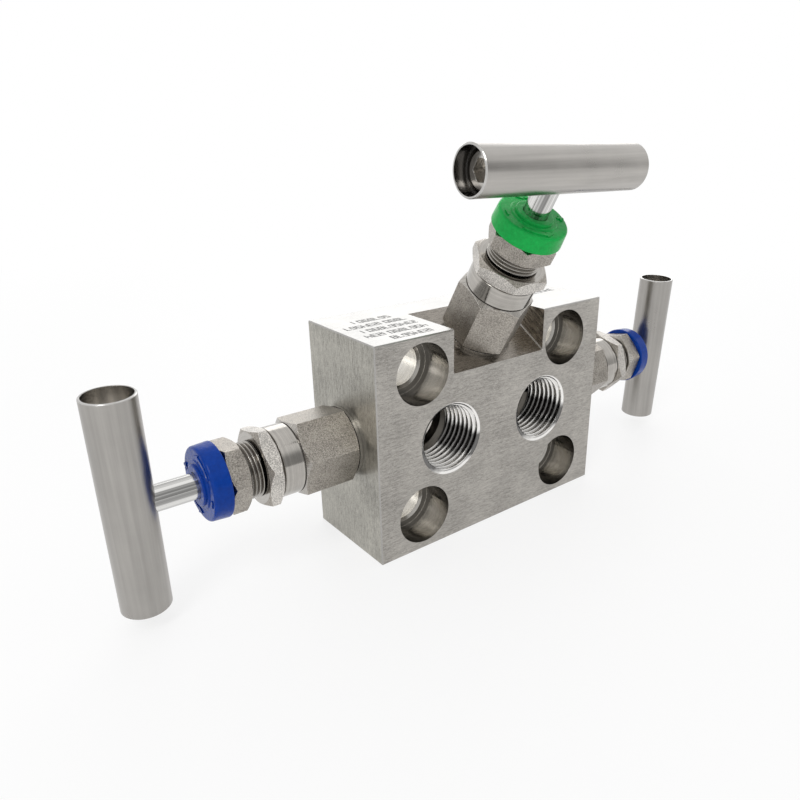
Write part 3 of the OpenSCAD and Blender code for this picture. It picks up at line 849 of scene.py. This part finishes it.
# Camera, at the photograph's place
CAMERA_PLACE = Vector((-130.1, -166.7, 80.1)) * MM
CAMERA_AZIMUTH = -39.524
CAMERA_ELEVATION = 22.021
CAMERA_ROLL = 0.09
CAMERA_LENS = 31.44
CAMERA_SENSOR = 36
CAMERA_SHIFT = (-0.0602, 0.0099)
CAMERA_CLIP = (0.01, 20)
camera_data = bpy.data.cameras.new("camera")
camera_data.sensor_width = CAMERA_SENSOR
camera_data.lens = CAMERA_LENS
camera_data.shift_x, camera_data.shift_y = CAMERA_SHIFT
camera_data.clip_start, camera_data.clip_end = CAMERA_CLIP
camera = bpy.data.objects.new("camera", camera_data)
camera.matrix_world = (
    Matrix.Translation(CAMERA_PLACE)
    @ Matrix.Rotation(math.radians(CAMERA_AZIMUTH), 4, "Z")
    @ Matrix.Rotation(math.radians(90 - CAMERA_ELEVATION), 4, "X")
    @ Matrix.Rotation(math.radians(CAMERA_ROLL), 4, "Z")
)
bpy.context.scene.collection.objects.link(camera)
bpy.context.scene.camera = camera


def softbox(name, place, target, size, power):
    light_data = bpy.data.lights.new(name, "AREA")
    light_data.shape = "RECTANGLE"
    light_data.size, light_data.size_y = size
    light_data.energy = power
    light = bpy.data.objects.new(name, light_data)
    light.location = place
    direction = Vector(target) - Vector(place)
    light.rotation_euler = direction.to_track_quat("-Z", "Y").to_euler()
    bpy.context.scene.collection.objects.link(light)


softbox("back_box", place=(1.0, 1.25, 0.75), target=(0, 0, 0), size=(1.5, 0.9), power=6)
softbox("left_box", place=(-0.75, -0.45, 0.95), target=(0, 0, 0.02), size=(0.35, 0.5), power=4)
DARK_SIDE = Vector((0.45, -0.88, 0.14)).normalized()
DARK_FROM, DARK_TO = 0.78, 0.97
ROOM_LIGHT = 0.95
DARK_LIGHT = 0.25


def light_world():
    """White background, also in the steel; the room is dark on one side of the camera."""
    world = bpy.data.worlds.new("studio")
    bpy.context.scene.world = world
    world.use_nodes = True
    world.node_tree.nodes.clear()
    n = Nodes(world.node_tree)
    place = n.add("ShaderNodeTexCoord").outputs["Generated"]
    light = n.span(n.dot(place, DARK_SIDE), DARK_FROM, DARK_TO, 1.0, DARK_LIGHT,
                   interpolation_type="SMOOTHSTEP")
    room = n.add("ShaderNodeBackground", {"Strength": n.math("MULTIPLY", light, ROOM_LIGHT)})
    white = n.add("ShaderNodeBackground", {"Color": (1, 1, 1, 1), "Strength": 1.0})
    camera_ray, mirrored = n.ray_kind()
    shown = n.math("MAXIMUM", n.math("MULTIPLY", mirrored, light), camera_ray)
    mix = n.add("ShaderNodeMixShader", {0: shown, 1: room.outputs[0], 2: white.outputs[0]})
    n.add("ShaderNodeOutputWorld", {"Surface": mix.outputs[0]})


light_world()

FLOOR_R = 3.0
SHADOW_FROM, SHADOW_REACH = 0.15, 0.5
SHADOW_WEIGHT = 0.25


def lay_floor():
    """White floor that keeps the block's shadow near it."""
    bm = bmesh.new()
    bmesh.ops.create_circle(bm, cap_ends=True, radius=FLOOR_R, segments=64)
    bm.transform(Matrix.Translation((0, 0, BLOCK_LOW.z)))
    mesh = bpy.data.meshes.new("floor")
    bm.to_mesh(mesh)
    bm.free()
    s = Shader("floor_white", FLOOR_WHITE, 0.0, 0.5)
    white_share = s.span(s.length(s.place), SHADOW_FROM, SHADOW_REACH, 1 - SHADOW_WEIGHT, 1.0)
    seen = s.math("MULTIPLY", s.math("MAXIMUM", *s.ray_kind()), white_share)
    glow = s.add("ShaderNodeEmission", {"Color": (1, 1, 1, 1), "Strength": 1.0})
    mix = s.add("ShaderNodeMixShader", {
        0: seen, 1: s.surface.outputs["BSDF"], 2: glow.outputs["Emission"]})
    s.put(s.tree.nodes["Material Output"].inputs["Surface"], mix.outputs["Shader"])
    mesh.materials.append(s.material)
    floor = bpy.data.objects.new("floor", mesh)
    bpy.context.scene.collection.objects.link(floor)


lay_floor()
bpy.context.scene.view_settings.view_transform = "Standard"
